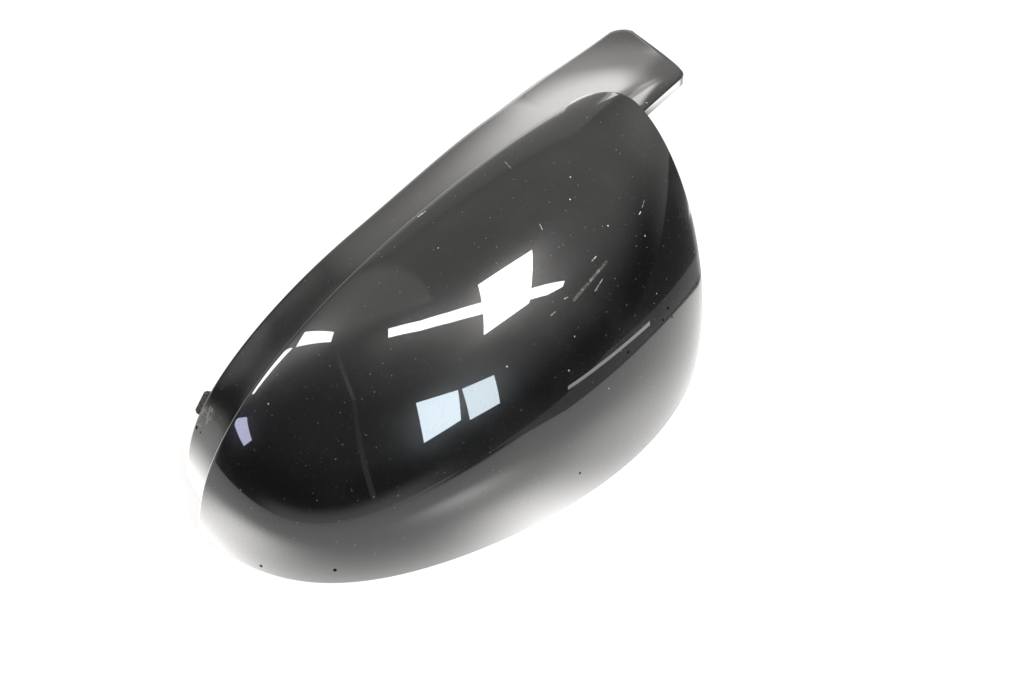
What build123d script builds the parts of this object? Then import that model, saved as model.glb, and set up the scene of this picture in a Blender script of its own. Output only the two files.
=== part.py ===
"""Wing mirror cover: one moulded shell with a sunken ledge along its far edge and a tab at its inner end.

Millimetres, +Z up. The cover lies on its rim, as it would on a table: the rim is in the plane Z = 0,
X runs along the cover from its narrow outer tip to the tab, and the ledge is on the +Y side.
"""

import os
from math import comb, hypot

from build123d import *

# Shape of the dome: each list holds the handles of one smooth line from the tip to the open end.
run_handles = [-122, -122, -84, -38, 18, 65]  # place along X
axis_handles = [9.5, 9.5, 1.5, -3, 0, 9.5]  # Y of the line that the ovals are centred on
reach_handles = [0, 53, 50, 64, 73, 44]  # how far the rim stands out from that line
height_handles = [0, 42, 64, 83, 86, 80]  # how high the crest stands over the rim

wall = 2.5  # thickness of the moulding everywhere
nudge = 1e-4  # share of the way over which a slope is taken
egg_slices = [0.07, 0.15, 0.25, 0.36, 0.5, 0.65, 0.8, 0.92]  # shares of the way where the dome is sectioned
egg_end = 1.06  # share of its last section, past the open end
egg_overrun = 0.003  # how much further that is for each mm of depth, so that a hollow runs out past the end

# Reach of cutters
plan_size = (300, 200)
headroom = 110  # taller than the cover
below = 30  # under the rim
step_reach = 14  # taller than the step

# Plan of the dome: where the step to the ledge runs, and where the end towards the arm is cut open.
step_line = [(-140, 14.5), (-31, 15.5), (67, 20.5)]
step_corner = 14  # radius where the step turns into the open end
open_end = (58, -79)  # near end of the cut, which slants back from the far end of the step line
edge_round = 1  # on the dome's edge
rim_side = 4  # Y that parts the dome's rounded edge from its rim and open end

# Ledge and tab: seen from the side the ledge follows one smooth line, whose handles are given in X and Z.
# Across its width it falls away from the dome.
ledge_handles = [(-116.5, 0), (-116.5, 44.5), (-74.5, 42), (-45, 103), (68, 65.5), (122, 69)]
ledge_inward = [(1, 0), (1, -0.2), (0.75, -0.65), (0.35, -0.95), (0, -1), (0, -1)]  # ways into the cover
foot_line = 15  # Y where the fall starts
foot_round = 5  # width over which it starts
fall = 0.42  # fall per mm at the dome
fall_easing = 0.0025  # how fast the fall eases off further out
ledge_slices = [-9, 5, 15, 25, 37, 51, 67]  # Y of the sections that shape it
cove = 3  # radius in the corner between step and ledge
cove_margin = 0.5  # how far the block that the cove is cut from stands over it
ledge_edge = 36  # Y of the ledge's outer edge along the straight stretch
ledge_straight = -35  # X where that edge starts to swing out
ledge_swing = [(36, 46), (79, 55.3)]
tab_far = (124, 62.2)
tab_near = (101.5, 12.5)
tab_root = (58, 2)
tab_bow = 2  # how far its end bows out
tab_corner = 6
lip_depth = 8  # edge of the ledge, turned down
tab_lip = 4  # the same round the tab
tab_lip_start = 68  # X where it gets lower

# Inside
rib_places = [-73, -33, 9, 47]  # X of the stiffening ribs
rib_height = 4
rib_thickness = 1.6
clip_places = [0.36, 0.56, 0.78]  # share of the way from the tip to the open end
clip_width = 12
clip_height = 14
clip_gap = 5  # between the wall and the clip's tongue
clip_tongue = 2
clip_nose = 1.5
clip_foot = 1  # height of the tongue's lower end
clip_nose_top = 5
lug_share = 0.15  # place of the catch along the ledge
lug_size = (8, 5)
lug_reach = 3
lug_turn = 52


def blend(share, handles):
    """Value at a share of the way along the smooth line that the handles describe."""
    last = len(handles) - 1
    return sum(comb(last, i) * share**i * (1 - share) ** (last - i) * h for i, h in enumerate(handles))


def oval(share, sink):
    """Place, centre and half sizes of the dome's oval section, sunk below the outer surface."""
    forward = blend(share + nudge, run_handles) - blend(share - nudge, run_handles)
    upward = blend(share + nudge, height_handles) - blend(share - nudge, height_handles)
    slope = hypot(forward, upward)
    place = blend(share, run_handles) + sink * upward / slope
    inward = sink * forward / slope
    reach = blend(share, reach_handles) - inward
    return place, blend(share, axis_handles), reach, blend(share, height_handles) - inward


def egg(sink):
    """Solid bounded by the dome's surface, or by a surface the given depth below it."""
    slices = [Vertex(run_handles[0] + sink, axis_handles[0], 0)]
    for share in egg_slices + [egg_end + egg_overrun * sink]:
        place, axis, reach, height = oval(share, sink)
        with BuildSketch(Plane((place, axis, 0), x_dir=(0, 1, 0), z_dir=(1, 0, 0))) as ring:
            with BuildLine():
                EllipticalCenterArc((0, 0), reach, height, 0, arc_size=180)
                EllipticalCenterArc((0, 0), reach, height, 180, arc_size=180)
            make_face()
        slices.append(ring.sketch.face())
    with BuildPart() as body:
        loft(sections=slices)
    return body.part


def scoop(across):
    """How far the ledge lies below its line at the dome, by the place across its width."""
    beyond = across - foot_line
    width = (beyond + hypot(beyond, foot_round)) / 2
    return fall * width - fall_easing * width**2


def ledge_curve(sink):
    """Handles of the ledge's line seen from the side, moved into the cover."""
    return [(x + sink * dx, z + sink * dz) for (x, z), (dx, dz) in zip(ledge_handles, ledge_inward)]


def ledge_layer(top, bottom):
    """Layer across the whole width between two depths below the ledge's top surface."""
    slices = []
    for across in ledge_slices:
        with BuildSketch(Plane.XZ.offset(-across)) as section:
            with BuildLine():
                over = Bezier(*ledge_curve(scoop(across) + top))
                under = Bezier(*ledge_curve(scoop(across) + bottom))
                Line(over @ 1, under @ 1)
                over_foot = over @ 0 - (0, below)
                under_foot = under @ 0 - (0, below)
                Polyline(over @ 0, over_foot, under_foot, under @ 0)
            make_face()
        slices.append(section.sketch.face())
    with BuildPart() as layer:
        loft(sections=slices)
    return layer.part


def dome_plan(inset):
    """Plan of the dome, drawn in from the step and from the open end."""
    far_points = [(x, y - inset) for x, y in step_line[:-1]]
    far_corner = (step_line[-1][0] - inset, step_line[-1][1] - inset)
    with BuildSketch() as plan:
        with BuildLine():
            step = Spline(*far_points, far_corner)
            near_end = (open_end[0] - inset, open_end[1])
            near_tip = (far_points[0][0], open_end[1])
            Polyline(far_corner, near_end, near_tip, step @ 0)
        make_face()
        fillet(plan.vertices().sort_by(Axis.X)[-1], radius=step_corner - inset)
    return plan.sketch


def ledge_plan(inset):
    """Plan of the ledge and tab, drawn in from their outer edge."""
    left = step_line[0][0]
    near = (tab_near[0] - inset, tab_near[1] + inset)
    with BuildSketch() as plan:
        with BuildLine():
            straight = Line((left, ledge_edge - inset), (ledge_straight, ledge_edge - inset))
            far = (tab_far[0] - inset, tab_far[1] - inset)
            bends = [(x, y - inset) for x, y in ledge_swing]
            Spline(straight @ 1, *bends, far, tangents=[(1, 0), (1, 0.1)])
            root = (tab_root[0], tab_root[1] + inset)
            SagittaArc(far, near, tab_bow)
            Polyline(near, root, (left, root[1]), straight @ 0)
        make_face()
        fillet(plan.vertices().sort_by_distance(far)[0], radius=tab_corner)
        fillet(plan.vertices().sort_by_distance(near)[0], radius=tab_corner)
    return plan.sketch


# Plans and surfaces that the moulding is cut from
dome_area = dome_plan(0)
dome_inside = dome_plan(wall)
dome_outside = dome_plan(-wall)
ledge_area = ledge_plan(0)
ledge_inside = ledge_plan(wall)
outer = egg(0)
mid_wall = egg(wall / 2)
inner = egg(wall)
rib_floor = egg(wall + rib_height)
step_layer = ledge_layer(-step_reach, wall)
ledge_block = ledge_layer(-cove - cove_margin, wall)
ledge_air = ledge_layer(-2 * step_reach, 0)
lip_layer = ledge_layer(0, lip_depth)
under_tab_lip = ledge_layer(tab_lip, lip_depth + wall)

# Space over the ledge, rounded at its foot so that it leaves a cove beside the step
with BuildPart() as ledge_space:
    with BuildSketch(Plane.XY.offset(-below)):
        Rectangle(*plan_size)
        add(dome_area, mode=Mode.SUBTRACT)
    extrude(amount=below + headroom)
    add(ledge_air, mode=Mode.INTERSECT)
    floor = ledge_space.faces().filter_by(lambda face: face.normal_at().Z < 0).sort_by(SortBy.AREA)[-1]
    foot = floor.edges().filter_by(
        lambda edge: edge.center().X < step_line[-1][0] and edge.center().Y < ledge_edge - wall
    )
    fillet(foot, radius=cove)

# Step wall: an upright slice along the plan's edge, down to the underside of the ledge
with BuildPart() as step_wall:
    with BuildSketch(Plane.XY.offset(-below)):
        add(dome_outside)
        add(dome_inside, mode=Mode.SUBTRACT)
    extrude(amount=below + headroom)
    add(step_layer, mode=Mode.INTERSECT)

# Ledge and tab, with the cove beside the step
with BuildPart() as ledge:
    with BuildSketch(Plane.XY.offset(-below)):
        add(ledge_area)
        add(dome_inside, mode=Mode.SUBTRACT)
    extrude(amount=below + headroom)
    add(ledge_block, mode=Mode.INTERSECT)
    add(ledge_space.part, mode=Mode.SUBTRACT)

# Space under the lip round the tab
with BuildPart() as tab_space:
    with BuildSketch(Plane.XY.offset(-below)):
        with Locations((tab_lip_start, 0)):
            Rectangle(*plan_size, align=(Align.MIN, Align.CENTER))
    extrude(amount=below + headroom)
    add(under_tab_lip, mode=Mode.INTERSECT)

# Lip: the outer edge of ledge and tab, turned down
with BuildPart() as lip:
    with BuildSketch(Plane.XY.offset(-below)):
        add(ledge_area)
        add(ledge_inside, mode=Mode.SUBTRACT)
        add(dome_area, mode=Mode.SUBTRACT)
    extrude(amount=below + headroom)
    add(lip_layer, mode=Mode.INTERSECT)
    add(tab_space.part, mode=Mode.SUBTRACT)

# Ribs inside the dome
with BuildPart() as ribs:
    for place in rib_places:
        with BuildSketch(Plane.YZ.offset(place)):
            Rectangle(2 * headroom, 2 * headroom)
        extrude(amount=rib_thickness)
    add(inner, mode=Mode.INTERSECT)
    add(rib_floor, mode=Mode.SUBTRACT)
    with BuildSketch(Plane.XY.offset(-headroom)):
        add(dome_inside)
    extrude(amount=2 * headroom, mode=Mode.INTERSECT)

# Clips inside the near rim: a tongue with a nose, hung from the wall
with BuildPart() as clips:
    for share in clip_places:
        place, axis, reach, height = oval(share, 0)
        ahead, ahead_axis, ahead_reach, ahead_height = oval(share + nudge, 0)
        along = Vector(ahead - place, (ahead_axis - ahead_reach) - (axis - reach), 0).normalized()
        tongue = wall + clip_gap
        with BuildSketch(Plane((place, axis - reach, 0), x_dir=(-along.Y, along.X, 0), z_dir=along)):
            with BuildLine():
                Polyline(
                    (0, clip_height),
                    (tongue + clip_tongue, clip_height),
                    (tongue + clip_tongue, clip_foot),
                    (tongue, clip_foot),
                    (tongue - clip_nose, (clip_foot + clip_nose_top) / 2),
                    (tongue, clip_nose_top),
                    (tongue, clip_height - clip_tongue),
                    (0, clip_height - clip_tongue),
                    close=True,
                )
            make_face()
        extrude(amount=clip_width / 2, both=True)
    add(mid_wall, mode=Mode.INTERSECT)

# Catch on the outside of the lip, near the tip
lug_line = ledge_curve(scoop(ledge_edge) + lip_depth / 2)
lug_place = blend(lug_share, [x for x, z in lug_line])
lug_height = blend(lug_share, [z for x, z in lug_line])
with BuildPart() as lug:
    with BuildSketch(Plane.XZ.offset(wall / 2 - ledge_edge)):
        with Locations((lug_place, lug_height)):
            Rectangle(*lug_size, rotation=lug_turn)
    extrude(amount=-wall / 2 - lug_reach)

# Dome: the outer egg within its plan, hollowed, with everything else joined to it
with BuildPart() as cavity:
    add(inner)
    add(step_wall.part, mode=Mode.SUBTRACT)

with BuildPart() as mirror_cover:
    add(outer)
    with BuildSketch(Plane.XY.offset(-headroom)):
        add(dome_area)
    extrude(amount=2 * headroom, mode=Mode.INTERSECT)
    fillet(mirror_cover.edges().filter_by(lambda edge: edge.center().Y > rim_side), radius=edge_round)
    add(cavity.part, mode=Mode.SUBTRACT)
    add(ledge.part)
    add(lip.part)
    add(ribs.part)
    add(clips.part)
    add(lug.part)
    split(bisect_by=Plane.XY, keep=Keep.TOP)

mirror_cover.part.label = "mirror_cover"

os.makedirs("parts", exist_ok=True)
export_step(mirror_cover.part, "parts/mirror_cover.step")
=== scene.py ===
from math import comb, cos, pi, radians, sin, tan

import bmesh
import bpy
import numpy as np
from mathutils import Matrix, Vector


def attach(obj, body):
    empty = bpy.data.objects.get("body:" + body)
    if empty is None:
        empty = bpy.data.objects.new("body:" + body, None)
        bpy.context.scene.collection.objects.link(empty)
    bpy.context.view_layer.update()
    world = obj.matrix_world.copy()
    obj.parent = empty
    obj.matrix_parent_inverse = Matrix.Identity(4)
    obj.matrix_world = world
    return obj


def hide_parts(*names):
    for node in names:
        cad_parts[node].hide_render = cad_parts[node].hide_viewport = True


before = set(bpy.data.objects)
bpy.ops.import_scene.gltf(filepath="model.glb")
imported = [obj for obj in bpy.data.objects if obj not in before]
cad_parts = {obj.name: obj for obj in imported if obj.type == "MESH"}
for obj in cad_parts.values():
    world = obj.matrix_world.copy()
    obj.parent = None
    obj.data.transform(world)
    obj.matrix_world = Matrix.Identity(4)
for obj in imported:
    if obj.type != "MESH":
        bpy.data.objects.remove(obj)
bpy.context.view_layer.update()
scene = bpy.context.scene
scene.view_settings.view_transform = "Standard"

# Cover shell
# The whole moulding but for its ribs, clips and catch: dome, step, ledge, tab and turned-down lip.
# Injection-moulded plastic, 2.5 mm thick, with gloss black lacquer on its outer face.
# Its two faces are grids of points by the same formulas as the solid, joined along their borders.
mm = 0.001
wall = 2.5
run_handles = [-122, -122, -84, -38, 18, 65]
axis_handles = [9.5, 9.5, 1.5, -3, 0, 9.5]
reach_handles = [0, 53, 50, 64, 73, 44]
height_handles = [0, 42, 64, 83, 86, 80]
step_line = np.array([(-140, 14.5), (-31, 15.5), (67, 20.5)])
open_end = np.array([58, -79])
step_corner = 14
step_turns_at = 51
edge_round = 1
cut_round = 0.5
cove = 3
ledge_handles = np.array([(-116.5, 0), (-116.5, 44.5), (-74.5, 42), (-45, 103), (68, 65.5), (122, 69)])
ledge_inward = np.array([(1, 0), (1, -0.2), (0.75, -0.65), (0.35, -0.95), (0, -1), (0, -1)])
foot_line = 15
foot_round = 5
fall = 0.42
fall_easing = 0.0025
ledge_edge = 36
ledge_straight = -35
swing_points = [(ledge_straight, ledge_edge), (36, 46), (79, 55.3), (124, 62.2)]
swing_slopes = [0, 0.169, 0.18, 0.1]
tab_near = np.array([101.5, 12.5])
tab_bow = 2
tab_corner = 6
lip_depth = 8
tab_lip = 4
tab_lip_start = 68
lip_round = 1
tip_rows, step_rows, corner_rows, end_rows = 6, 120, 110, 40
dome_columns, round_columns, wall_columns, cove_columns, ledge_columns, lip_columns = 64, 4, 3, 6, 28, 3
near_rim_shares = (0.70, 0.88)
fade_rows = 5
edge_of_step, cove_of_step, cove_of_width, lip_of_width = 0.3, 0.5, 0.35, 0.3
cove_arm = 0.7
cut_reach = 60
cut_easing = 6
tab_rows_start = 6
foot_last_share = 0.9
dome_last_share = 1.04
ledge_guess = [(ledge_straight, 50, 122), (0.5, 0.78, 1)]
guess_rounds, foot_rounds = 8, 4
dome_points, curve_points, straight_points = 4001, 3000, 1500
swing_steps, tab_end_points, arc_points = 400, 200, 120
weld = 2e-6
sliver = 1e-6
sharp_from = radians(40)


def blend(share, handles):
    """Point at a share of the way along the smooth line that the handles describe."""
    last = len(handles) - 1
    return sum(comb(last, i) * share**i * (1 - share) ** (last - i) * h for i, h in enumerate(handles))


def oval(share, sink):
    """Place, centre and half sizes of the dome's oval section, sunk below the outer face."""
    step = 1e-4
    forward = blend(share + step, run_handles) - blend(share - step, run_handles)
    upward = blend(share + step, height_handles) - blend(share - step, height_handles)
    slope = np.hypot(forward, upward)
    inward = sink * forward / slope
    place = blend(share, run_handles) + sink * upward / slope
    reach = blend(share, reach_handles) - inward
    return place, blend(share, axis_handles), reach, blend(share, height_handles) - inward


def dome(share, turn, sink):
    """Points of the dome: share runs from tip to open end, turn from the near rim over the crest."""
    place, axis, reach, height = oval(share, sink)
    return np.stack([place, axis - reach * np.cos(turn), height * np.sin(turn)], axis=-1)


def ledge(share, across, sink):
    """Points of the ledge and tab, which fall away from the dome across their width."""
    beyond = across - foot_line
    width = (beyond + np.hypot(beyond, foot_round)) / 2
    drop = fall * width - fall_easing * width**2 + sink
    side = blend(share[:, None], ledge_handles) + drop[:, None] * blend(share[:, None], ledge_inward)
    return np.stack([side[:, 0], across, side[:, 1]], axis=-1)


def unit(vectors):
    length = np.linalg.norm(vectors, axis=-1, keepdims=True)
    return vectors / np.maximum(length, 1e-9)


def spread(points, count, *follow):
    """Values that follow a curve of closely set points, taken at even distances along it."""
    length = np.append(0, np.cumsum(np.linalg.norm(np.diff(points, axis=0), axis=1)))
    marks = np.linspace(0, length[-1], count)
    return [np.interp(marks, length, values) for values in follow]


def arc_at(corner, back, ahead, radius):
    """Arc that rounds a corner of a plan between the ways back and ahead from it."""
    half = np.arccos(np.dot(back, ahead)) / 2
    centre = corner + unit(back + ahead) * radius / sin(half)
    first = corner + back * radius / tan(half) - centre
    last = corner + ahead * radius / tan(half) - centre
    turns = np.linspace(0, 1, arc_points)[:, None]
    return centre + radius * unit(first * (1 - turns) + last * turns)


def step_plan(inset):
    """The step's line, the arc that ends it and the way on along the open end, in plan."""
    line = np.polynomial.Polynomial.fit(*step_line.T, 2)
    touch = np.array([step_turns_at, line(step_turns_at) - inset])
    along = unit(np.array([1, line.deriv()(step_turns_at)]))
    down = unit(open_end - step_line[-1])
    start = step_line[-1] - (inset, inset)
    reach = np.linalg.solve(np.stack([along, -down], axis=1), start - touch)[0]
    arc = arc_at(touch + along * reach, -along, down, step_corner - inset)
    return line, arc, down


def dome_edge(sink):
    """Share and turn of the dome's border, row by row: tip, step, corner, open end."""
    line, arc, down = step_plan(sink)
    shares = np.linspace(0, dome_last_share, dome_points) ** 2
    place, axis, reach, height = oval(shares, sink)

    def on_dome(plan):
        share = np.interp(plan[:, 0], place, shares)
        _, middle, half, _ = oval(share, sink)
        return share, np.arccos(np.clip((middle - plan[:, 1]) / half, -1, 1))

    first = np.interp(0, axis + reach - (line(place) - sink), shares)
    first_place = np.interp(first, shares, place)
    along = first_place + (arc[0, 0] - first_place) * np.linspace(0, 1, curve_points) ** 2
    share, turn = on_dome(np.stack([along, line(along) - sink], axis=-1))
    share[0], turn[0] = first, pi
    step_share, step_turn = spread(dome(share, turn, sink), step_rows, share, turn)

    corner_share, corner_turn = spread(arc, corner_rows + 1, *on_dome(arc))

    far = np.linspace(0, cut_reach, curve_points)[:, None]
    back = sink * (1 - np.clip(far / cut_easing, 0, 1)) - sink
    cut = arc[-1] + down * far - back * (1, 0)
    share, turn = on_dome(cut)
    kept = turn > 0
    share, turn = np.append(share[kept], share[kept][-1]), np.append(turn[kept], 0)
    end_share, end_turn = spread(dome(share, turn, sink), end_rows + 1, share, turn)

    tip_share = np.linspace(0, first, tip_rows, endpoint=False)
    share = np.concatenate([tip_share, step_share, corner_share[1:], end_share[1:]])
    turn = np.concatenate([np.full(tip_rows, pi), step_turn, corner_turn[1:], end_turn[1:]])
    return share, turn


def ledge_share(plan, sink):
    """Share along the ledge of points given in plan, towards its broad end."""
    step = 1e-4
    share = np.interp(plan[:, 0], *ledge_guess)
    for _ in range(guess_rounds):
        here = ledge(share, plan[:, 1], sink)[:, 0]
        ahead = ledge(share + step, plan[:, 1], sink)[:, 0]
        share = share - (here - plan[:, 0]) / ((ahead - here) / step)
    return share


def ledge_foot(sink):
    """Share and place across of the foot of the step, row by row."""
    line, arc, _ = step_plan(sink)
    share = np.linspace(0, foot_last_share, curve_points)
    across = np.full(len(share), line(0) - sink)
    for _ in range(foot_rounds):
        across = line(ledge(share, across, sink)[:, 0]) - sink
    points = ledge(share, across, sink)
    end = np.interp(arc[0, 0], points[:, 0], share)
    kept = share < end
    share, across = np.append(share[kept], end), np.append(across[kept], arc[0, 1])
    step_share, step_across = spread(ledge(share, across, sink), step_rows, share, across)
    arc_share, arc_across = spread(arc, corner_rows + 1, ledge_share(arc, sink), arc[:, 1])
    return np.append(step_share, arc_share[1:]), np.append(step_across, arc_across[1:])


def ledge_rim(sink):
    """Share and place across of the ledge's and the tab's outer edge, row by row."""
    arc = step_plan(sink)[1]
    swing = []
    for (x0, y0), (x1, y1), slope0, slope1 in zip(
        swing_points, swing_points[1:], swing_slopes, swing_slopes[1:]
    ):
        x = np.linspace(x0, x1, swing_steps)
        u, span = (x - x0) / (x1 - x0), x1 - x0
        lift = slope0 * span * u * (1 - u) ** 2 - slope1 * span * u**2 * (1 - u)
        swing.append(np.stack([x, y0 + (y1 - y0) * u * u * (3 - 2 * u) + lift], axis=-1))
    swing = np.concatenate(swing) - (0, sink)
    far = np.array(swing_points[-1]) - (sink, sink)
    near = tab_near + (-sink, sink)
    along = near - far
    bow = unit(np.array([-along[1], along[0]])) * tab_bow * 4
    far_arc = arc_at(far, -unit(np.array([1, swing_slopes[-1]])), unit(along + bow), tab_corner)
    near_arc = arc_at(near, unit(bow - along), unit(arc[-1] - near), tab_corner)
    u = np.linspace(0, 1, tab_end_points)[:, None]
    end = far + along * u + bow * u * (1 - u)
    end = end[((end - far_arc[-1]) @ along > 0) & ((end - near_arc[0]) @ along < 0)]
    plan = np.concatenate([swing[swing[:, 0] < far_arc[0, 0]], far_arc, end, near_arc, arc[-1:]])
    plan = np.stack(spread(plan, curve_points, *plan.T), axis=-1)
    share, across = ledge_share(plan, sink), plan[:, 1]
    straight = np.linspace(0, share[0], straight_points, endpoint=False)
    share = np.append(straight, share)
    across = np.append(np.full(len(straight), ledge_edge - sink), across)
    points = ledge(share, across, sink)
    split = np.argmax(points[:, 0] > arc[0, 0] + tab_rows_start)
    beside_step = spread(points[: split + 1], step_rows, share[: split + 1], across[: split + 1])
    round_tab = spread(points[split:], corner_rows + 1, share[split:], across[split:])
    return [np.append(one, two[1:]) for one, two in zip(beside_step, round_tab)]


def rounded(corner, first, last, length, columns):
    """Columns of points that round a corner from a length along one way to the same along the other."""
    u = np.arange(columns + 1)[None, :, None] / columns
    corner, first, last, length = corner[:, None], first[:, None], last[:, None], length[:, None, None]
    return corner + length * ((1 - u) ** 2 * first + u**2 * last)


def between(start, end, columns):
    u = np.arange(1, columns + 1)[None, :, None] / columns
    return start[:, None] * (1 - u) + end[:, None] * u


def face_of_shell(sink, other):
    """Points of the shell's face at a depth, in rows that cross from the rim to the end of the lip."""
    share, turn = dome_edge(sink)
    rows = len(share)
    ledge_first, ledge_last = tip_rows, tip_rows + step_rows + corner_rows
    edge = dome(share, turn, sink)
    beside = slice(ledge_first, ledge_last)
    foot_share, foot_across = ledge_foot(sink)
    rim_share, rim_across = ledge_rim(sink)
    foot = ledge(foot_share, foot_across, sink)
    rim = ledge(rim_share, rim_across, sink)
    lip_depths = np.interp(rim[:, 0], [tab_lip_start - 1, tab_lip_start + 1], [lip_depth, tab_lip])
    lip_depths[step_rows + corner_rows // 2 :] = tab_lip
    lip_end = ledge(rim_share, rim_across, lip_depths)

    # Where each row starts on the near rim
    row = np.arange(rows)
    rim_marks = [0, tip_rows, tip_rows + step_rows, ledge_last, rows - 1]
    near_share = np.interp(row, rim_marks, [0, share[tip_rows], *near_rim_shares, share[-1]])
    near_share[:tip_rows] = share[:tip_rows]

    # Rounding of the dome's edge, towards the step or into the cut
    into = unit(dome(*dome_edge(other), other) - edge)
    into[beside] = unit(foot - edge[beside])
    radius = np.full(rows, cut_round)
    step_height = np.linalg.norm(foot - edge[beside], axis=1)
    radius[beside] = np.minimum(edge_round, step_height * edge_of_step)
    radius *= np.clip((row - ledge_first) / fade_rows, 0, 1)
    radius *= np.clip((rows - 1 - row) / fade_rows, 0, 1)
    nudge = 1e-3
    inner_share, inner_turn = share + (near_share - share) * nudge, turn * (1 - nudge)
    back = (dome(inner_share, inner_turn, sink) - edge) / nudge
    row_length = np.linalg.norm(back, axis=1)
    stop = 1 - radius / np.maximum(row_length, 1e-6)
    u = np.linspace(0, 1, dome_columns + 1)[None, :] * np.clip(stop, 0.2, 1)[:, None]
    over_dome = dome(near_share[:, None] * (1 - u) + share[:, None] * u, turn[:, None] * u, sink)
    round_edge = rounded(edge, unit(back), into, radius, round_columns)[:, 1:]

    # Step, cove, ledge and lip
    width = np.hypot(rim_across - foot_across, rim[:, 0] - foot[:, 0])
    ahead_share = foot_share + (rim_share - foot_share) * nudge
    ahead_across = foot_across + (rim_across - foot_across) * nudge
    outward = unit(ledge(ahead_share, ahead_across, sink) - foot)
    step_back = unit(edge[beside] - foot)
    behind_share = rim_share + (foot_share - rim_share) * nudge
    behind_across = rim_across + (foot_across - rim_across) * nudge
    homeward = unit(ledge(behind_share, behind_across, sink) - rim)
    downward = unit(lip_end - rim)
    cove_size = np.minimum(cove * cove_arm + sink, step_height * cove_of_step)
    cove_size = np.minimum(cove_size, width * cove_of_width)
    lip_size = np.minimum(lip_round, width * lip_of_width)
    round_end = round_edge[beside, -1]
    cove_start = foot + step_back * cove_size[:, None]
    step_face = between(round_end, cove_start, wall_columns)
    cove_face = rounded(foot, step_back, outward, cove_size, cove_columns)[:, 1:]
    low, high = cove_size / np.maximum(width, 1e-6), 1 - lip_size / np.maximum(width, 1e-6)
    v = low[:, None] + (high - low)[:, None] * np.arange(1, ledge_columns + 1) / ledge_columns
    across_share = foot_share[:, None] * (1 - v) + rim_share[:, None] * v
    across_place = foot_across[:, None] * (1 - v) + rim_across[:, None] * v
    on_ledge = ledge(across_share.ravel(), across_place.ravel(), sink).reshape(*v.shape, 3)
    lip_edge = rounded(rim, homeward, downward, lip_size, round_columns)[:, 1:]
    lip_face = between(lip_edge[:, -1], lip_end, lip_columns)

    beyond = np.concatenate([step_face, cove_face, on_ledge, lip_edge, lip_face], axis=1)
    grid = np.full((rows, over_dome.shape[1] + round_columns + beyond.shape[1], 3), np.nan)
    grid[:, : dome_columns + 1] = over_dome
    grid[ledge_first:, dome_columns + 1 : dome_columns + 1 + round_columns] = round_edge[ledge_first:]
    grid[beside, dome_columns + 1 + round_columns :] = beyond
    return grid


def smooth(mesh):
    """Shade a mesh smooth but for its sharp edges."""
    mesh.polygons.foreach_set("use_smooth", [True] * len(mesh.polygons))
    mesh.set_sharp_from_angle(angle=sharp_from)


def shell_mesh(name):
    """Closed mesh of the shell: painted outer faces first, then the inner face and the borders."""
    outer = face_of_shell(0, wall)
    inner = face_of_shell(wall, 0)
    rows, columns, _ = outer.shape
    there = ~np.isnan(outer[..., 0])
    number = np.arange(rows * columns).reshape(rows, columns)
    quads = np.stack([number[:-1, :-1], number[1:, :-1], number[1:, 1:], number[:-1, 1:]], axis=-1)
    whole = there[:-1, :-1] & there[1:, :-1] & there[1:, 1:] & there[:-1, 1:]
    painted = quads[whole].tolist()
    hidden = [[i + rows * columns for i in reversed(face)] for face in painted]
    sides = {(face[i], face[(i + 1) % 4]) for face in painted for i in range(4)}
    borders = [
        (b, a, a + rows * columns, b + rows * columns) for a, b in sorted(sides) if (b, a) not in sides
    ]
    points = np.nan_to_num(np.concatenate([outer.reshape(-1, 3), inner.reshape(-1, 3)])) * mm
    mesh = bpy.data.meshes.new(name)
    mesh.from_pydata(points.tolist(), [], painted + hidden + borders)
    for polygon in mesh.polygons[len(painted):]:
        polygon.material_index = 1
    tidy = bmesh.new()
    tidy.from_mesh(mesh)
    bmesh.ops.delete(tidy, geom=[v for v in tidy.verts if not v.link_faces], context="VERTS")
    bmesh.ops.remove_doubles(tidy, verts=tidy.verts, dist=weld)
    bmesh.ops.dissolve_degenerate(tidy, edges=tidy.edges, dist=sliver)
    tidy.to_mesh(mesh)
    tidy.free()
    smooth(mesh)
    return mesh


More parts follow.
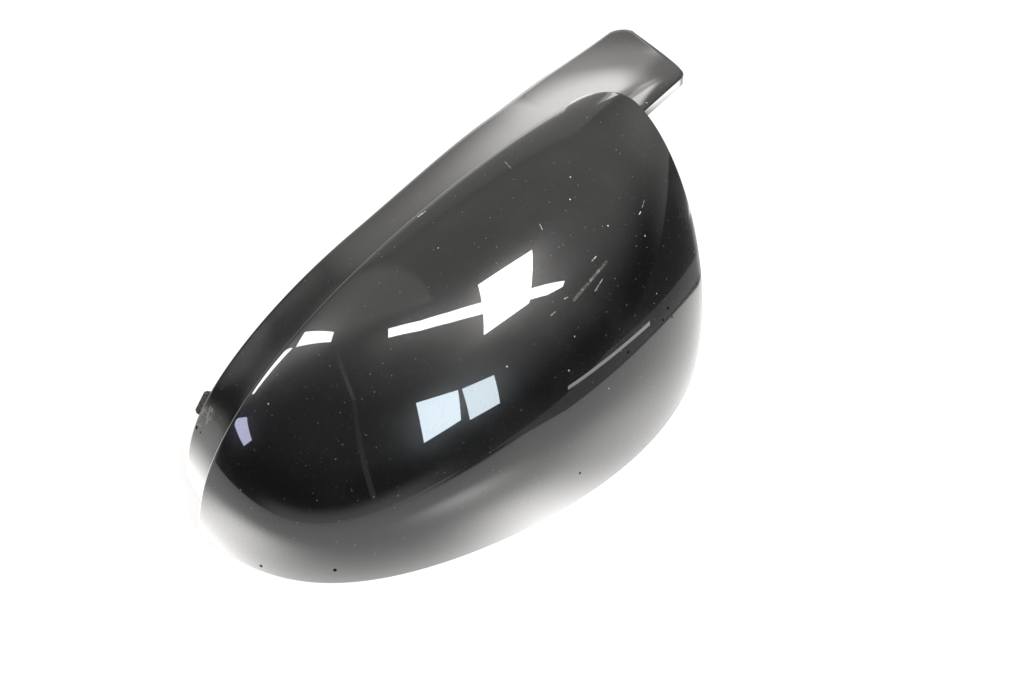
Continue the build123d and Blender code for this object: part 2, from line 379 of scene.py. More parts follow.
class Wire:
    """One output socket in a tree of nodes, so that maths on it reads as an expression."""

    def __init__(self, tree, socket=None):
        self.tree = tree
        self.socket = socket

    def node(self, kind, settings=None, sockets=None, output=0):
        """Add a node with its settings and the values or links of its sockets, and give one output."""
        made = self.tree.nodes.new(kind)
        for name, value in (settings or {}).items():
            setattr(made, name, value)
        for name, value in (sockets or {}).items():
            if isinstance(value, Wire):
                self.tree.links.new(value.socket, made.inputs[name])
            else:
                made.inputs[name].default_value = value
        return Wire(self.tree, made.outputs[output] if len(made.outputs) else None)

    def math(self, operation, *values):
        return self.node("ShaderNodeMath", {"operation": operation}, dict(enumerate(values)))

    def __add__(self, other):
        return self.math("ADD", self, other)

    def __radd__(self, other):
        return self.math("ADD", other, self)

    def __sub__(self, other):
        return self.math("SUBTRACT", self, other)

    def __rsub__(self, other):
        return self.math("SUBTRACT", other, self)

    def __mul__(self, other):
        return self.math("MULTIPLY", self, other)

    def __rmul__(self, other):
        return self.math("MULTIPLY", other, self)

    def __gt__(self, other):
        return self.math("GREATER_THAN", self, other)

    def vector(self, operation, *values, output=0):
        sockets = dict(enumerate(values))
        return self.node("ShaderNodeVectorMath", {"operation": operation}, sockets, output)

    def ease(self, low, high):
        """0 below low, 1 above high, smooth between."""
        return self.node(
            "ShaderNodeMapRange",
            {"interpolation_type": "SMOOTHSTEP"},
            {"Value": self, "From Min": low, "From Max": high},
        )

    def mix(self, first, second):
        """Colour between two, with this value as the share of the second."""
        sockets = {"Factor": self, 6: first, 7: second}
        return self.node("ShaderNodeMix", {"data_type": "RGBA"}, sockets, 2)

    def noise(self, scale, detail, roughness=0.5):
        """Cloudy value over the place that this socket gives."""
        sockets = {"Vector": self, "Scale": scale, "Detail": detail, "Roughness": roughness}
        return self.node("ShaderNodeTexNoise", {}, sockets)


def new_material(name):
    material = bpy.data.materials.new(name)
    material.use_nodes = True
    material.node_tree.nodes.clear()
    nodes = Wire(material.node_tree)
    place = nodes.node("ShaderNodeTexCoord", output=3)
    return material, nodes, place


# Marks on the lacquer, each with its ends or its place on the cover
scratches = [
    ((5.3, -32.8, 67.0), (7.6, -32.5, 67.3), 0.25, 1),
    ((-7.9, -37.8, 61.7), (-3.2, -37.1, 62.8), 0.7, 0.14),
    ((-3.2, -37.1, 62.8), (1.2, -36.4, 63.6), 0.7, 0.14),
    ((1.2, -36.4, 63.6), (5.8, -35.6, 64.4), 0.7, 0.16),
    ((5.8, -35.6, 64.4), (10.2, -34.7, 64.9), 0.7, 0.12),
    ((0.8, -38.8, 60.9), (5.6, -37.5, 62.2), 0.25, 0.5),
    ((-10.8, -36.3, 63.0), (-9.5, -36.5, 63.0), 0.25, 0.6),
    ((-17.9, -37.4, 61.1), (-15.8, -37.4, 61.4), 0.25, 0.45),
    ((38.4, -25.2, 68.9), (35.7, -26.7, 68.3), 0.2, 0.45),
    ((34.0, -27.6, 67.9), (32.8, -28.1, 67.8), 0.25, 0.9),
    ((8.5, 9.7, 80.9), (7.1, 5.5, 81.3), 0.25, 0.3),
    ((-2.5, -16.9, 76.9), (-3.1, -18.5, 76.1), 0.25, 0.5),
    ((-26.1, 14.0, 74.9), (-23.3, 13.7, 75.6), 0.35, 1),
]
pits = [
    ((-105.2, -31.8, 5.7), 0.8),
    ((-118.6, -12.3, 2.2), 0.7),
    ((29.4, -46.3, 41.0), 0.8),
    ((25.1, -48.1, 39.6), 0.7),
    ((30.6, -47.5, 37.1), 0.6),
    ((4.6, -51.3, 40.5), 0.7),
    ((-24.3, -59.3, 11.5), 0.6),
    ((-104.6, 34.2, 20.0), 0.8),
    ((-105.4, 31.4, 20.4), 0.5),
]
chips = [
    ((-101.8, 33.9, 24.4), 3.2),
    ((-102.6, 30.5, 25.1), 2.6),
    ((-103.9, 33.7, 21.4), 2.8),
    ((-100.5, 30.7, 27.5), 2.4),
]
film_patch = ((57, -9, 75), 14)
dust_layers = [(0.0064, 0.3, 0.00036, 0.7), (0.0021, 0.35, 0.0002, 0.25), (0.0011, 0.5, 0.00014, 0.08)]
speck_core, spot_core, scratch_core = 0.6, 0.5, 0.3
grit_scale, grit_range, scratch_least = 1500, (0.35, 0.6), 0.25
smear_scale, smear_range, patch_range = 30, (0.45, 0.75), (0.3, 0.6)
swirl_scale, chip_range = 500, (0.45, 0.6)
peel_scale, peel_height = 260, 0.2
gloss, film_dulls, swirls_dull, bare_dulls, bare_uncoats = 0.2, 0.08, 0.1, 0.4, 0.85
lacquer_black = (0.002, 0.002, 0.002, 1)
filmed_black = (0.006, 0.006, 0.0057, 1)
dust_grey = (0.5, 0.49, 0.47, 1)
chip_grey = (0.16, 0.15, 0.14, 1)
pit_black = (0.003, 0.003, 0.003, 1)


def black_lacquer():
    """Clear lacquer over black, with dust, scratches, pits, chips, a dull film and some orange peel."""
    material, nodes, place = new_material("black_lacquer")

    def specks(size, share, radius):
        cells = nodes.node("ShaderNodeTexVoronoi", {}, {"Vector": place, "Scale": 1 / size})
        pick = nodes.node("ShaderNodeTexVoronoi", {}, {"Vector": place, "Scale": 1 / size}, "Color")
        chosen = nodes.node("ShaderNodeSeparateColor", {}, {"Color": pick}) > 1 - share
        return (1 - cells.ease(radius / size * speck_core, radius / size)) * chosen

    def near(spot, radius):
        distance = nodes.vector("DISTANCE", place, Vector(spot) * mm, output=1)
        return 1 - distance.ease(radius * spot_core * mm, radius * mm)

    def scratch(start, end, width):
        line = (Vector(end) - Vector(start)) * mm
        offset = nodes.vector("SUBTRACT", place, Vector(start) * mm)
        share = nodes.vector("DOT_PRODUCT", offset, line / line.length_squared, output=1)
        share = nodes.math("MINIMUM", nodes.math("MAXIMUM", share, 0), 1)
        nearest = nodes.node("ShaderNodeVectorMath", {"operation": "SCALE"}, {0: line, "Scale": share})
        distance = nodes.vector("DISTANCE", offset, nearest, output=1)
        return 1 - distance.ease(width * scratch_core * mm, width * mm)

    dust = sum((specks(size, share, radius) * level for size, share, radius, level in dust_layers), 0)
    grit = place.noise(grit_scale, 2)
    scratched = sum((scratch(start, end, width) * depth for start, end, width, depth in scratches), 0)
    broken = scratch_least + grit.ease(*grit_range) * (1 - scratch_least)
    light_marks = nodes.math("MINIMUM", dust + scratched * broken, 1)
    pitted = nodes.math("MINIMUM", sum((near(spot, radius) for spot, radius in pits), 0), 1)
    smear = place.noise(smear_scale, 6, 0.6)
    film = smear.ease(*smear_range) + near(*film_patch) * smear.ease(*patch_range)
    film = nodes.math("MINIMUM", film, 1)
    peel = place.noise(peel_scale, 2)
    swirls = place.noise(swirl_scale, 5, 0.7)
    chipped = sum((near(spot, radius) for spot, radius in chips), 0) * swirls.ease(*chip_range)
    chipped = nodes.math("MINIMUM", chipped, 1)

    colour = film.mix(lacquer_black, filmed_black)
    colour = chipped.mix(light_marks.mix(colour, dust_grey), chip_grey)
    bare = nodes.math("MAXIMUM", light_marks, chipped)
    depth = peel * peel_height - pitted - chipped
    bump = nodes.node("ShaderNodeBump", {}, {"Strength": 0.15, "Distance": 0.0003, "Height": depth})
    surface = nodes.node(
        "ShaderNodeBsdfPrincipled",
        {},
        {
            "Base Color": colour,
            "Roughness": gloss + film * film_dulls + swirls * swirls_dull + bare * bare_dulls,
            "IOR": 1.5,
            "Specular IOR Level": 0.22,
            "Coat Weight": 1 - bare * bare_uncoats,
            "Coat IOR": 1.8,
            "Coat Roughness": 0.015,
            "Normal": bump,
        },
    )
    hollow = nodes.node("ShaderNodeBsdfDiffuse", {}, {"Color": pit_black})
    marked = nodes.node("ShaderNodeMixShader", {}, {0: pitted, 1: surface, 2: hollow})
    nodes.node("ShaderNodeOutputMaterial", {}, {"Surface": marked})
    return material


grain_scale, tone_scale = 1400, 30
satin, satin_varies = 0.4, 0.2
plastic_dark = (0.012, 0.012, 0.013, 1)
plastic_pale = (0.03, 0.03, 0.031, 1)


def bare_plastic():
    """Satin black plastic as it comes from the mould, with a fine grain."""
    material, nodes, place = new_material("bare_plastic")
    grain = place.noise(grain_scale, 3)
    tone = place.noise(tone_scale, 4)
    colour = tone.mix(plastic_dark, plastic_pale)
    bump = nodes.node("ShaderNodeBump", {}, {"Strength": 0.2, "Distance": 0.0002, "Height": grain})
    surface = nodes.node(
        "ShaderNodeBsdfPrincipled",
        {},
        {"Base Color": colour, "Roughness": satin + tone * satin_varies, "Normal": bump},
    )
    nodes.node("ShaderNodeOutputMaterial", {}, {"Surface": surface})
    return material


def add_piece(name, mesh, *materials):
    piece = bpy.data.objects.new(name, mesh)
    scene.collection.objects.link(piece)
    for material in materials:
        mesh.materials.append(material)
    return piece


lacquer = black_lacquer()
plastic = bare_plastic()
cover = add_piece("cover_shell", shell_mesh("cover_shell"), lacquer, plastic)
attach(cover, "root")
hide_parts("mirror_cover")

# Ribs
# Four stiffening ribs across the inside of the dome, moulded with it in the bare plastic.
# Each is swept along a line halfway down its height, and its back is sunk into the wall.
rib_places = [-73, -33, 9, 47]
rib_height = 4
rib_thickness = 1.6
rib_sunk = 0.3
rib_points = 48


def rib_lines(name):
    """Lines along the ribs, from the near rim to the step."""
    sink = wall + (rib_height - rib_sunk) / 2
    shares = np.linspace(0, 1, 2001)
    place = oval(shares, sink)[0]
    line = step_plan(wall)[0]
    points, edges = [], []
    for rib_place in rib_places:
        middle = rib_place + rib_thickness / 2
        share = np.interp(middle, place, shares)
        _, axis, reach, _ = oval(share, sink)
        turns = np.linspace(0, np.arccos((axis - (line(middle) - wall)) / reach), rib_points)
        start = len(points)
        points += (dome(np.full(rib_points, share), turns, sink) * mm).tolist()
        edges += [(i, i + 1) for i in range(start, len(points) - 1)]
    mesh = bpy.data.meshes.new(name)
    mesh.from_pydata(points, edges, [])
    return mesh


def rib_tree(nodes, inputs):
    path = nodes.node("GeometryNodeMeshToCurve", {}, {"Mesh": inputs["Geometry"]})
    section = nodes.node(
        "GeometryNodeCurvePrimitiveQuadrilateral",
        {},
        {"Width": inputs["Thickness"], "Height": inputs["Height"]},
    )
    sweep = {"Curve": path, "Profile Curve": section, "Fill Caps": True}
    return nodes.node("GeometryNodeCurveToMesh", {}, sweep)


def grow(name, seed, build, sizes, material):
    """Plain mesh piece that geometry nodes make on a seed mesh, with named sizes as their inputs."""
    group = bpy.data.node_groups.new(name, "GeometryNodeTree")
    group.interface.new_socket("Geometry", in_out="OUTPUT", socket_type="NodeSocketGeometry")
    group.interface.new_socket("Geometry", in_out="INPUT", socket_type="NodeSocketGeometry")
    identifiers = {}
    for size in sizes:
        socket = group.interface.new_socket(size, in_out="INPUT", socket_type="NodeSocketFloat")
        identifiers[size] = socket.identifier
    nodes = Wire(group)
    inputs = {socket.name: Wire(group, socket) for socket in group.nodes.new("NodeGroupInput").outputs}
    plain = nodes.node("GeometryNodeRealizeInstances", {}, {"Geometry": build(nodes, inputs)})
    dressed = nodes.node("GeometryNodeSetMaterial", {}, {"Geometry": plain, "Material": material})
    nodes.node("NodeGroupOutput", {}, {0: dressed})

    holder = add_piece(name + "_seed", seed)
    modifier = holder.modifiers.new(name, "NODES")
    modifier.node_group = group
    for size, identifier in identifiers.items():
        modifier[identifier] = sizes[size]
    evaluated = holder.evaluated_get(bpy.context.evaluated_depsgraph_get())
    mesh = bpy.data.meshes.new_from_object(evaluated)
    holder.modifiers.remove(modifier)
    bpy.data.objects.remove(holder)
    mesh.name = name
    mesh.materials.clear()
    return add_piece(name, mesh, material)


rib_sizes = {"Thickness": rib_thickness * mm, "Height": (rib_height + rib_sunk) * mm}
ribs = grow("ribs", rib_lines("rib_lines"), rib_tree, rib_sizes, plastic)
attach(ribs, "root")

# Clips
# Three snap clips inside the near rim: a tongue with a nose, hung from the wall, in the bare plastic.
# One clip is drawn in profile and thickened, and then set along the rim, facing inwards.
clip_places = [0.36, 0.56, 0.78]
clip_width = 12
clip_height = 14
clip_gap = 5
clip_tongue = 2
clip_nose = 1.5
clip_foot = 1
clip_nose_top = 5
clip_root = 2.2
clip_bevel = 0.25


def clip_mesh(name):
    """One clip, its root towards -X and its width along Y."""
    tongue = wall + clip_gap
    profile = [
        (clip_root, clip_height),
        (tongue + clip_tongue, clip_height),
        (tongue + clip_tongue, clip_foot),
        (tongue, clip_foot),
        (tongue - clip_nose, (clip_foot + clip_nose_top) / 2),
        (tongue, clip_nose_top),
        (tongue, clip_height - clip_tongue),
        (clip_root, clip_height - clip_tongue),
    ]
    made = bmesh.new()
    side = made.faces.new([made.verts.new((x * mm, -clip_width / 2 * mm, z * mm)) for x, z in profile])
    pushed = bmesh.ops.extrude_face_region(made, geom=[side])
    moved = [v for v in pushed["geom"] if isinstance(v, bmesh.types.BMVert)]
    bmesh.ops.translate(made, verts=moved, vec=(0, clip_width * mm, 0))
    bmesh.ops.recalc_face_normals(made, faces=made.faces)
    bmesh.ops.bevel(made, geom=made.edges[:], offset=clip_bevel * mm, segments=2, affect="EDGES")
    mesh = bpy.data.meshes.new(name)
    made.to_mesh(mesh)
    made.free()
    return mesh


def clip_spots(name):
    """Points on the near rim where the clips sit, each with the turn that faces it inwards."""
    shares = np.array(clip_places)
    spots = dome(shares, 0, 0)
    along = dome(shares + 1e-3, 0, 0) - spots
    mesh = bpy.data.meshes.new(name)
    mesh.from_pydata((spots * mm).tolist(), [], [])
    facing = mesh.attributes.new("facing", "FLOAT", "POINT")
    facing.data.foreach_set("value", np.arctan2(along[:, 0], -along[:, 1]))
    return mesh


def clip_tree(nodes, inputs):
    facing = nodes.node("GeometryNodeInputNamedAttribute", {"data_type": "FLOAT"}, {"Name": "facing"})
    euler = nodes.node("ShaderNodeCombineXYZ", {}, {"Z": facing})
    turn = nodes.node("FunctionNodeEulerToRotation", {}, {"Euler": euler})
    shape = nodes.node("GeometryNodeObjectInfo", {}, {"Object": one_clip}, "Geometry")
    sockets = {"Points": inputs["Geometry"], "Instance": shape, "Rotation": turn}
    return nodes.node("GeometryNodeInstanceOnPoints", {}, {**sockets, "Scale": inputs["Scale"]})


one_clip = add_piece("one_clip", clip_mesh("one_clip"))
clips = grow("clips", clip_spots("clip_spots"), clip_tree, {"Scale": 1}, plastic)
bpy.data.objects.remove(one_clip)
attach(clips, "root")

# Catch
# A small rough block on the outside of the lip near the tip, of which the paint is worn off.
# It is moulded with the cover, and its root is sunk into the lip.
lug_share = 0.15
lug_size = (8, 5)
lug_reach = 3
lug_turn = radians(52)
lug_bevel = 0.6
wear_scale, wear_range = 900, (0.35, 0.65)
dull, dull_varies = 0.6, 0.3
worn_dark = (0.012, 0.010, 0.009, 1)
worn_pale = (0.07, 0.062, 0.055, 1)


def worn_plastic():
    """Dark plastic, dull and rough."""
    material, nodes, place = new_material("worn_plastic")
    grain = place.noise(wear_scale, 4)
    colour = grain.ease(*wear_range).mix(worn_dark, worn_pale)
    bump = nodes.node("ShaderNodeBump", {}, {"Strength": 0.6, "Distance": 0.0004, "Height": grain})
    surface = nodes.node(
        "ShaderNodeBsdfPrincipled",
        {},
        {"Base Color": colour, "Roughness": dull + grain * dull_varies, "Normal": bump},
    )
    nodes.node("ShaderNodeOutputMaterial", {}, {"Surface": surface})
    return material


def lug_mesh(name):
    depth = wall / 2 + lug_reach
    foot = ledge(np.array([lug_share]), np.array([ledge_edge]), lip_depth / 2)[0]
    centre = Vector(foot + (0, lug_reach - depth / 2, 0)) * mm
    made = bmesh.new()
    bmesh.ops.create_cube(made, size=1)
    bmesh.ops.scale(made, verts=made.verts, vec=(lug_size[0] * mm, depth * mm, lug_size[1] * mm))
    bmesh.ops.bevel(made, geom=made.edges[:], offset=lug_bevel * mm, segments=3, affect="EDGES")
    bmesh.ops.rotate(made, verts=made.verts, matrix=Matrix.Rotation(-lug_turn, 3, "Y"))
    bmesh.ops.translate(made, verts=made.verts, vec=centre)
    mesh = bpy.data.meshes.new(name)
    made.to_mesh(mesh)
    made.free()
    smooth(mesh)
    return mesh


catch = add_piece("catch", lug_mesh("catch"), worn_plastic())
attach(catch, "root")

# Table
# A plain white table top under the cover, which reads as white and keeps part of the cover's shadow.
# The lacquer shows it with painted pools of light close to the cover, and a painted grey strip as its
# right end.
table_half = 3
table_white = (0.92, 0.92, 0.92, 1)
table_white_share = 0.8
table_tint = (1, 0.99, 0.98)
# The table's level in the lacquer, and painted pools of light on it, each with its place, size and
# strength
table_level = 0.77
painted_light_pools = [
    ((-142, 8), 36, 3.4),
    ((-100, 50), 30, 0.8),
    ((-42, -62), 24, 3.1),
    ((10, -78), 42, 0.9),
    ((-65, -135), 32, 1.6),
]
# Painted bright spots on the table that the lip shows, with their size and level
painted_lip_spots = [(176, -18), (184, -14), (191, -10.5)]
lip_patch_size = 6
lip_patch_level = 3
# Painted glow on the table in the lacquer, stronger close to the cover and strongest at the near rim
close_level, close_reach = 0.37, 0.4
rim_level, rim_reach, rim_stops = 1.7, 0.012, (-0.05, 0.03)
# Painted shade over a part of the table's near side, in the lacquer
dim_share, dim_near, dim_along = 0.9, (0.5, 0.85), (-0.35, -0.05)
# A painted right edge of the table and a painted grey strip past it, with a dark gap and then painted
# room dark, all seen only in the lacquer
painted_end, painted_end_least = 0.133, 0.097
swell, swell_at = 1.6, 0.18
end_soft, end_starts = 0.0015, (0.012, 0.03)
strip_level, strip_end, strip_slant, strip_soft = 0.26, 0.103, 0.685, 0.002
strip_gap, gap_share = 0.004, 0.7
painted_room_dark = 0.07
warm = (1, 0.985, 0.965)


def quad_mesh(name, *corners):
    """Flat strips between pairs of corners."""
    mesh = bpy.data.meshes.new(name)
    faces = [(i, i + 1, i + 3, i + 2) for i in range(0, len(corners) - 2, 2)]
    mesh.from_pydata(corners, [], faces)
    return mesh


def table_top():
    """White for the camera; for the lacquer a level of painted light and shade that changes over the
    table.
    """
    material, nodes, place = new_material("table_white")
    along = nodes.node("ShaderNodeSeparateXYZ", {}, {"Vector": place}, 0)
    near = nodes.node("ShaderNodeSeparateXYZ", {}, {"Vector": place}, 1) * -1
    from_camera = nodes.node("ShaderNodeLightPath", output="Is Camera Ray")
    in_lacquer = nodes.node("ShaderNodeLightPath", output="Is Glossy Ray")
    length = nodes.node("ShaderNodeLightPath", output="Ray Length")

    def patch(spot, size):
        distance = nodes.vector("DISTANCE", place, Vector((*spot, 0)) * mm, output=1)
        return nodes.math("EXPONENT", nodes.math("POWER", distance * (1 / (size * mm)), 2) * -1)

    # The table's painted right edge, seen only in the lacquer, swells on the near side, and the painted
    # strip beyond it has a dark gap and an end
    edge = painted_end - nodes.math("POWER", near - swell_at, 2) * swell
    beyond = along - nodes.math("MAXIMUM", edge, painted_end_least)
    past_painted_end = beyond.ease(-end_soft, end_soft) * near.ease(*end_starts)
    off_strip = (along - strip_end - near * strip_slant).ease(-strip_soft, strip_soft)
    gap = 1 - beyond.ease(strip_gap, strip_gap + strip_soft)
    strip = strip_level * (1 - gap * gap_share) * (1 - off_strip) + painted_room_dark * off_strip

    # Painted glow, stronger the closer the table is to the lacquer, and strongest at the rim on the
    # tip's side
    close_glow = nodes.math("EXPONENT", length * (-1 / close_reach)) * close_level
    rim_glow = nodes.math("EXPONENT", length * (-1 / rim_reach)) * rim_level
    rim_glow = rim_glow * (1 - along.ease(*rim_stops))
    lit = table_level + close_glow + rim_glow
    # Painted pools of light
    for spot, size, strength in painted_light_pools:
        lit = lit + patch(spot, size) * strength
    # Painted shade on a part of the near side
    dim = near.ease(*dim_near) * along.ease(*dim_along) * dim_share
    shown = lit * (1 - dim) * (1 - past_painted_end) + strip * past_painted_end
    # Painted bright spots that the lip shows
    for spot in painted_lip_spots:
        shown = shown + patch(spot, lip_patch_size) * lip_patch_level
    level = nodes.vector("MULTIPLY", 1 + in_lacquer * (shown - 1), table_tint)

    white = nodes.node("ShaderNodeBsdfDiffuse", {}, {"Color": table_white})
    glow = nodes.node("ShaderNodeEmission", {}, {"Color": level})
    share = nodes.math("MAXIMUM", from_camera * table_white_share, in_lacquer)
    both = nodes.node("ShaderNodeMixShader", {}, {0: share, 1: white, 2: glow})
    nodes.node("ShaderNodeOutputMaterial", {}, {"Surface": both})
    return material


table_corners = [(x * table_half, y * table_half, 0) for x, y in ((-1, -1), (1, -1), (-1, 1), (1, 1))]
table = add_piece("table", quad_mesh("table", *table_corners), table_top())

# Room
# A pale ceiling over dim walls, and beyond the ledge a pale wall that ends at a slanting line.
# To the left of that wall stands something dark, and low on the near side the room is a little lighter.
room_wall = 0.038
room_ceiling, ceiling_starts, ceiling_dip = 0.46, (0.25, 0.77), 0.14
right_side, right_reach = (0.9, -0.45, 0), (0.3, 1)
tip_side, tip_reach, tip_share = (-0.98, -0.2, 0), (0, 0.6), 0.8
arm_side, arm_reach, arm_level = (0.98, 0.17, 0), (0.75, 0.95), 0.35
near_side, near_reach, near_level, near_top = (-0.77, -0.64, 0), (0.6, 0.9), 0.5, (1, 10)
dark_top, dark_turn, dark_slant, dark_soft = 25.5, 96, 0.8, 1.5
above_dark, above_starts, above_stops = 0.25, (79, 84), (110, 130)
low_top, low_starts, low_stops = (0, 8), (103, 112), (125, 145)
far_upper, far_tab, far_arm = 0.5, 0.8, 0.6
far_starts, far_stops, far_top = (34, 38), (76, 90), (34, 50)
tab_starts, ledge_starts = (45.4, 46.2), (48.3, 49.6)
ledge_turn, ledge_fade, ledge_glow, ledge_least = 50, 14, 2.1, 0.35
arm_wall_top, tab_wall_drop, slant_turn, slant, wall_soft = 22, 9.5, 51.5, 0.62, (-4.5, 2)


def within(value, starts, stops):
    """1 between a soft start and a soft stop, 0 beyond them."""
    return value.ease(*starts) * (1 - value.ease(*stops))


world = bpy.data.worlds.new("room")
scene.world = world
world.use_nodes = True
world.node_tree.nodes.clear()
nodes = Wire(world.node_tree)
way = nodes.node("ShaderNodeTexCoord", output=3)
x, y, height = (nodes.node("ShaderNodeSeparateXYZ", {}, {"Vector": way}, axis) for axis in range(3))
degree = 180 / pi
turn = nodes.math("ARCTAN2", y, x) * degree
rise = nodes.math("ARCSINE", height) * degree
to_tip, to_right, to_arm, to_near = (
    nodes.vector("DOT_PRODUCT", way, side, output=1)
    for side in (tip_side, right_side, arm_side, near_side)
)
ceiling = (height + to_right.ease(*right_reach) * ceiling_dip).ease(*ceiling_starts) * room_ceiling
ceiling = ceiling * (1 - to_tip.ease(*tip_reach) * tip_share)
arm_wall = to_arm.ease(*arm_reach) * arm_level
near_wall = (1 - rise.ease(*near_top)) * to_near.ease(*near_reach) * near_level
over_dark = rise - (dark_top - nodes.math("MAXIMUM", turn - dark_turn, 0) * dark_slant)
above = within(turn, above_starts, above_stops) * over_dark.ease(-dark_soft, dark_soft) * above_dark
low_tip = (1 - rise.ease(*low_top)) * within(turn, low_starts, low_stops) * near_level
room = room_wall + ceiling + arm_wall + near_wall + above + low_tip

past_arm = turn.ease(*tab_starts)
wall_top = arm_wall_top - past_arm * tab_wall_drop + nodes.math("MAXIMUM", turn - slant_turn, 0) * slant
below = 1 - (rise - wall_top).ease(*wall_soft)
by_ledge = nodes.math("EXPONENT", (ledge_turn - turn) * (1 / ledge_fade)) * ledge_glow + ledge_least
far_low = far_arm + past_arm * (far_tab - far_arm) + turn.ease(*ledge_starts) * (by_ledge - far_tab)
far_wall = (far_upper + below * (far_low - far_upper)) * within(turn, far_starts, far_stops)
far_wall = far_wall * (1 - rise.ease(*far_top))
level = nodes.vector("MULTIPLY", nodes.math("MAXIMUM", room, far_wall), warm)
sky = nodes.node("ShaderNodeBackground", {}, {"Color": level})
nodes.node("ShaderNodeOutputWorld", {}, {"Surface": sky})

# Lamps
# A ceiling panel, a ceiling tube, and over the far side a lamp and a tube, all seen in the lacquer,
# and a broad soft lamp that the lacquer doesn't show.
ceiling_height = 1300
tube_height = 1310
panel_corners = [(514, -388), (488, -1079), (159, -276), (102, -995)]
tube_line = [(-286, 131), (-329, 24), (-163, -119), (-201, -235), (-28, -316), (-60, -447)]
tube_line += [(128, -509), (106, -660), (486, -874), (495, -1043)]
tube_line += [(674, -1035), (701, -1224), (913, -1248), (905, -1328)]
far_lamp_corners = [(-387, 1746), (-398, 882), (-561, 1580), (-479, 761)]
far_tube_line = [(-427, 1188, 931), (-387, 1293, 787), (-542, 1189, 873), (-498, 1299, 718)]
far_tube_line += [(-659, 1175, 815), (-605, 1281, 670), (-784, 1163, 718), (-723, 1248, 622)]
panel_glow, tube_glow, far_glow = 22, 16, 13
soft_size, soft_watts, soft_height = 1.5, 26, 2


def glowing(name, colour, brightness, fade):
    """Plain light, or one whose level changes over its place."""
    material, nodes, place = new_material(name)
    shown = nodes.vector("MULTIPLY", fade(nodes, place), colour) if fade else (*colour, 1)
    light = nodes.node("ShaderNodeEmission", {}, {"Color": shown, "Strength": brightness})
    nodes.node("ShaderNodeOutputMaterial", {}, {"Surface": light})
    return material


def add_card(name, corners, colour, brightness, fade=None):
    """Flat light, in strips between pairs of corners, that the camera doesn't see."""
    mesh = quad_mesh(name, *(Vector(corner) * mm for corner in corners))
    card = add_piece(name, mesh, glowing(name, colour, brightness, fade))
    card.visible_camera = False
    card.visible_shadow = False


add_card("ceiling_panel", [(*corner, ceiling_height) for corner in panel_corners], warm, panel_glow)
add_card("ceiling_tube", [(*corner, tube_height) for corner in tube_line], warm, tube_glow)
add_card("far_lamp", [(*corner, ceiling_height) for corner in far_lamp_corners], warm, far_glow)
add_card("far_tube", far_tube_line, warm, far_glow)
soft_lamp = bpy.data.lights.new("soft_lamp", "AREA")
soft_lamp.size = soft_size
soft_lamp.energy = soft_watts
soft_holder = bpy.data.objects.new("soft_lamp", soft_lamp)
soft_holder.location = (0, 0, soft_height)
soft_holder.visible_glossy = False
scene.collection.objects.link(soft_holder)

# Windows
# Two panes of a window on the near side and a pane of another on the side of the tip, in cool daylight.
# They are flat lights of their own, each with its corners where the lacquer shows them.
daylight = (0.8, 0.92, 1)
dusk = (0.71, 0.72, 1)
pane_wall = -1200
left_pane = [(-521, 1258), (-152, 918), (-386, 543), (-137, 516)]
right_pane = [(-124, 889), (88, 752), (-82, 449), (93, 404)]
tip_pane = [(-793, 928, 398), (-851, 801, 545), (-1070, 609, 423), (-1052, 561, 523)]
left_glow, right_glow, tip_glow = 10.5, 9.3, 6.3
add_card("left_pane", [(x, pane_wall, z) for x, z in left_pane], daylight, left_glow)
add_card("right_pane", [(x, pane_wall, z) for x, z in right_pane], daylight, right_glow)
add_card("tip_pane", tip_pane, dusk, tip_glow)

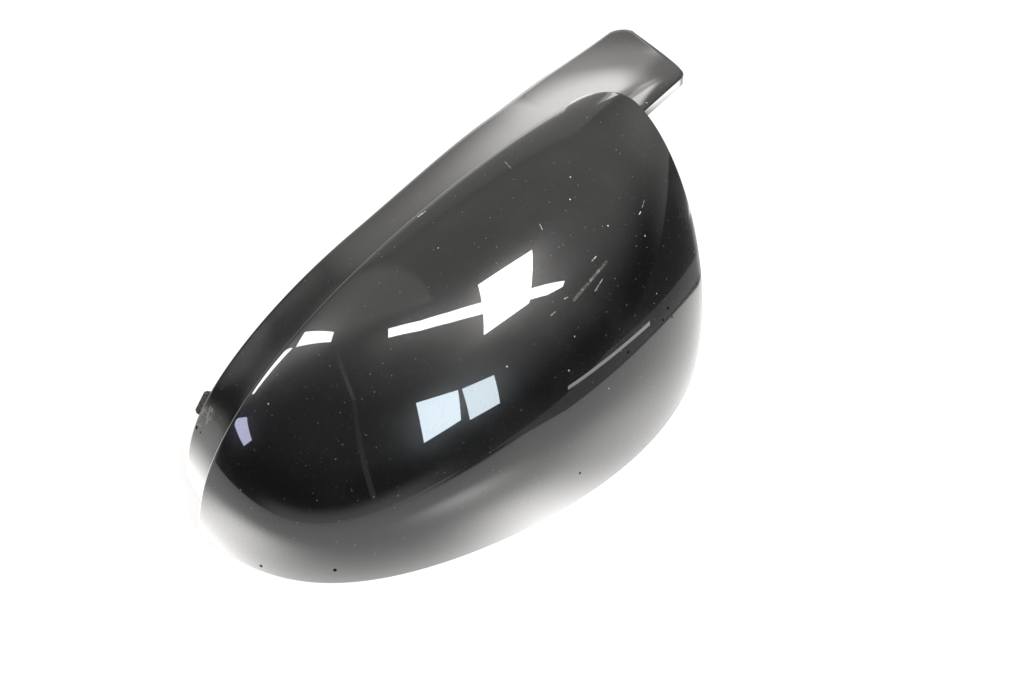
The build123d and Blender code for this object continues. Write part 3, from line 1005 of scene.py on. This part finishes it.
# Gleams
# The lit edge of a rail beyond the table's strip, the edge of an open door on the side of the tip,
# and well beyond the tab a low board, white on its left and dark on its right.
rail_edge = [(137, -135, 15), (136, -136, 11), (207, -269, 15), (206, -270, 8)]
rail_edge += [(270, -466, 28), (268, -467, 15), (223, -598, 58), (222, -598, 42)]
door_edge = [(-419, 550, 1070), (-420, 505, 1092), (-682, -244, 1066), (-667, -286, 1065)]
door_foot = [(-682, -244, 1066), (-667, -286, 1065), (-709, -1053, 172), (-661, -1084, 145)]
rail_glow, door_glow, foot_glow = 2.5, 0.42, 0.22
board_corners = [(207.3, 216.7, 190), (207.3, 216.7, 0), (281.2, 147.9, 190), (281.2, 147.9, 0)]
board_white, white_at, white_lean = 1.75, 0.23, 0.72
white_top, white_stops = (0.0785, 0.09), (0.234, 0.244)
dull_from = (0.092, 0.112)
right_glows = [((0.24, 0.244), (0.086, 0.094), 0.9), ((0.248, 0.254), (0.105, 0.13), 2.2)]
board_dark, board_edge, edge_lean, edge_soft = 0.36, 0.2268, 0.22, (-0.003, 0.002)


def board_fade(nodes, place):
    """White low on the left, dark past a leaning edge on the right, and duller towards the top."""
    x, z = (nodes.node("ShaderNodeSeparateXYZ", {}, {"Vector": place}, axis) for axis in (0, 2))
    low = 1 - (z + (x - white_at) * white_lean).ease(*white_top)
    level = far_tab + low * (1 - x.ease(*white_stops)) * board_white
    level = level + z.ease(*dull_from) * (far_upper - far_tab)
    for right_of, above, strength in right_glows:
        level = level + x.ease(*right_of) * z.ease(*above) * strength
    return level + (x - z * edge_lean - board_edge).ease(*edge_soft) * (board_dark - level)


add_card("rail_edge", rail_edge, warm, rail_glow)
add_card("door_edge", door_edge, warm, door_glow)
add_card("door_foot", door_foot, warm, foot_glow)
add_card("far_board", board_corners, warm, 1, board_fade)

# Camera
# A long lens, from over the tip and down at the cover, as in the photograph.
picture_width = 1024
focal_pixels = 2260
camera_place = Vector((-411.6, -388.0, 530.4)) * mm
azimuth, elevation, roll = radians(42.972), radians(-42.346), radians(2.335)
forward = Vector((cos(elevation) * cos(azimuth), cos(elevation) * sin(azimuth), sin(elevation)))
level_right = forward.cross(Vector((0, 0, 1))).normalized()
level_up = level_right.cross(forward)
right = level_right * cos(roll) + level_up * sin(roll)
up = level_up * cos(roll) - level_right * sin(roll)
camera_data = bpy.data.cameras.new("camera")
camera_data.sensor_width = 36
camera_data.lens = camera_data.sensor_width * focal_pixels / picture_width
camera = bpy.data.objects.new("camera", camera_data)
facing = Matrix((right, up, -forward)).transposed()
camera.matrix_world = Matrix.Translation(camera_place) @ facing.to_4x4()
scene.collection.objects.link(camera)
scene.camera = camera
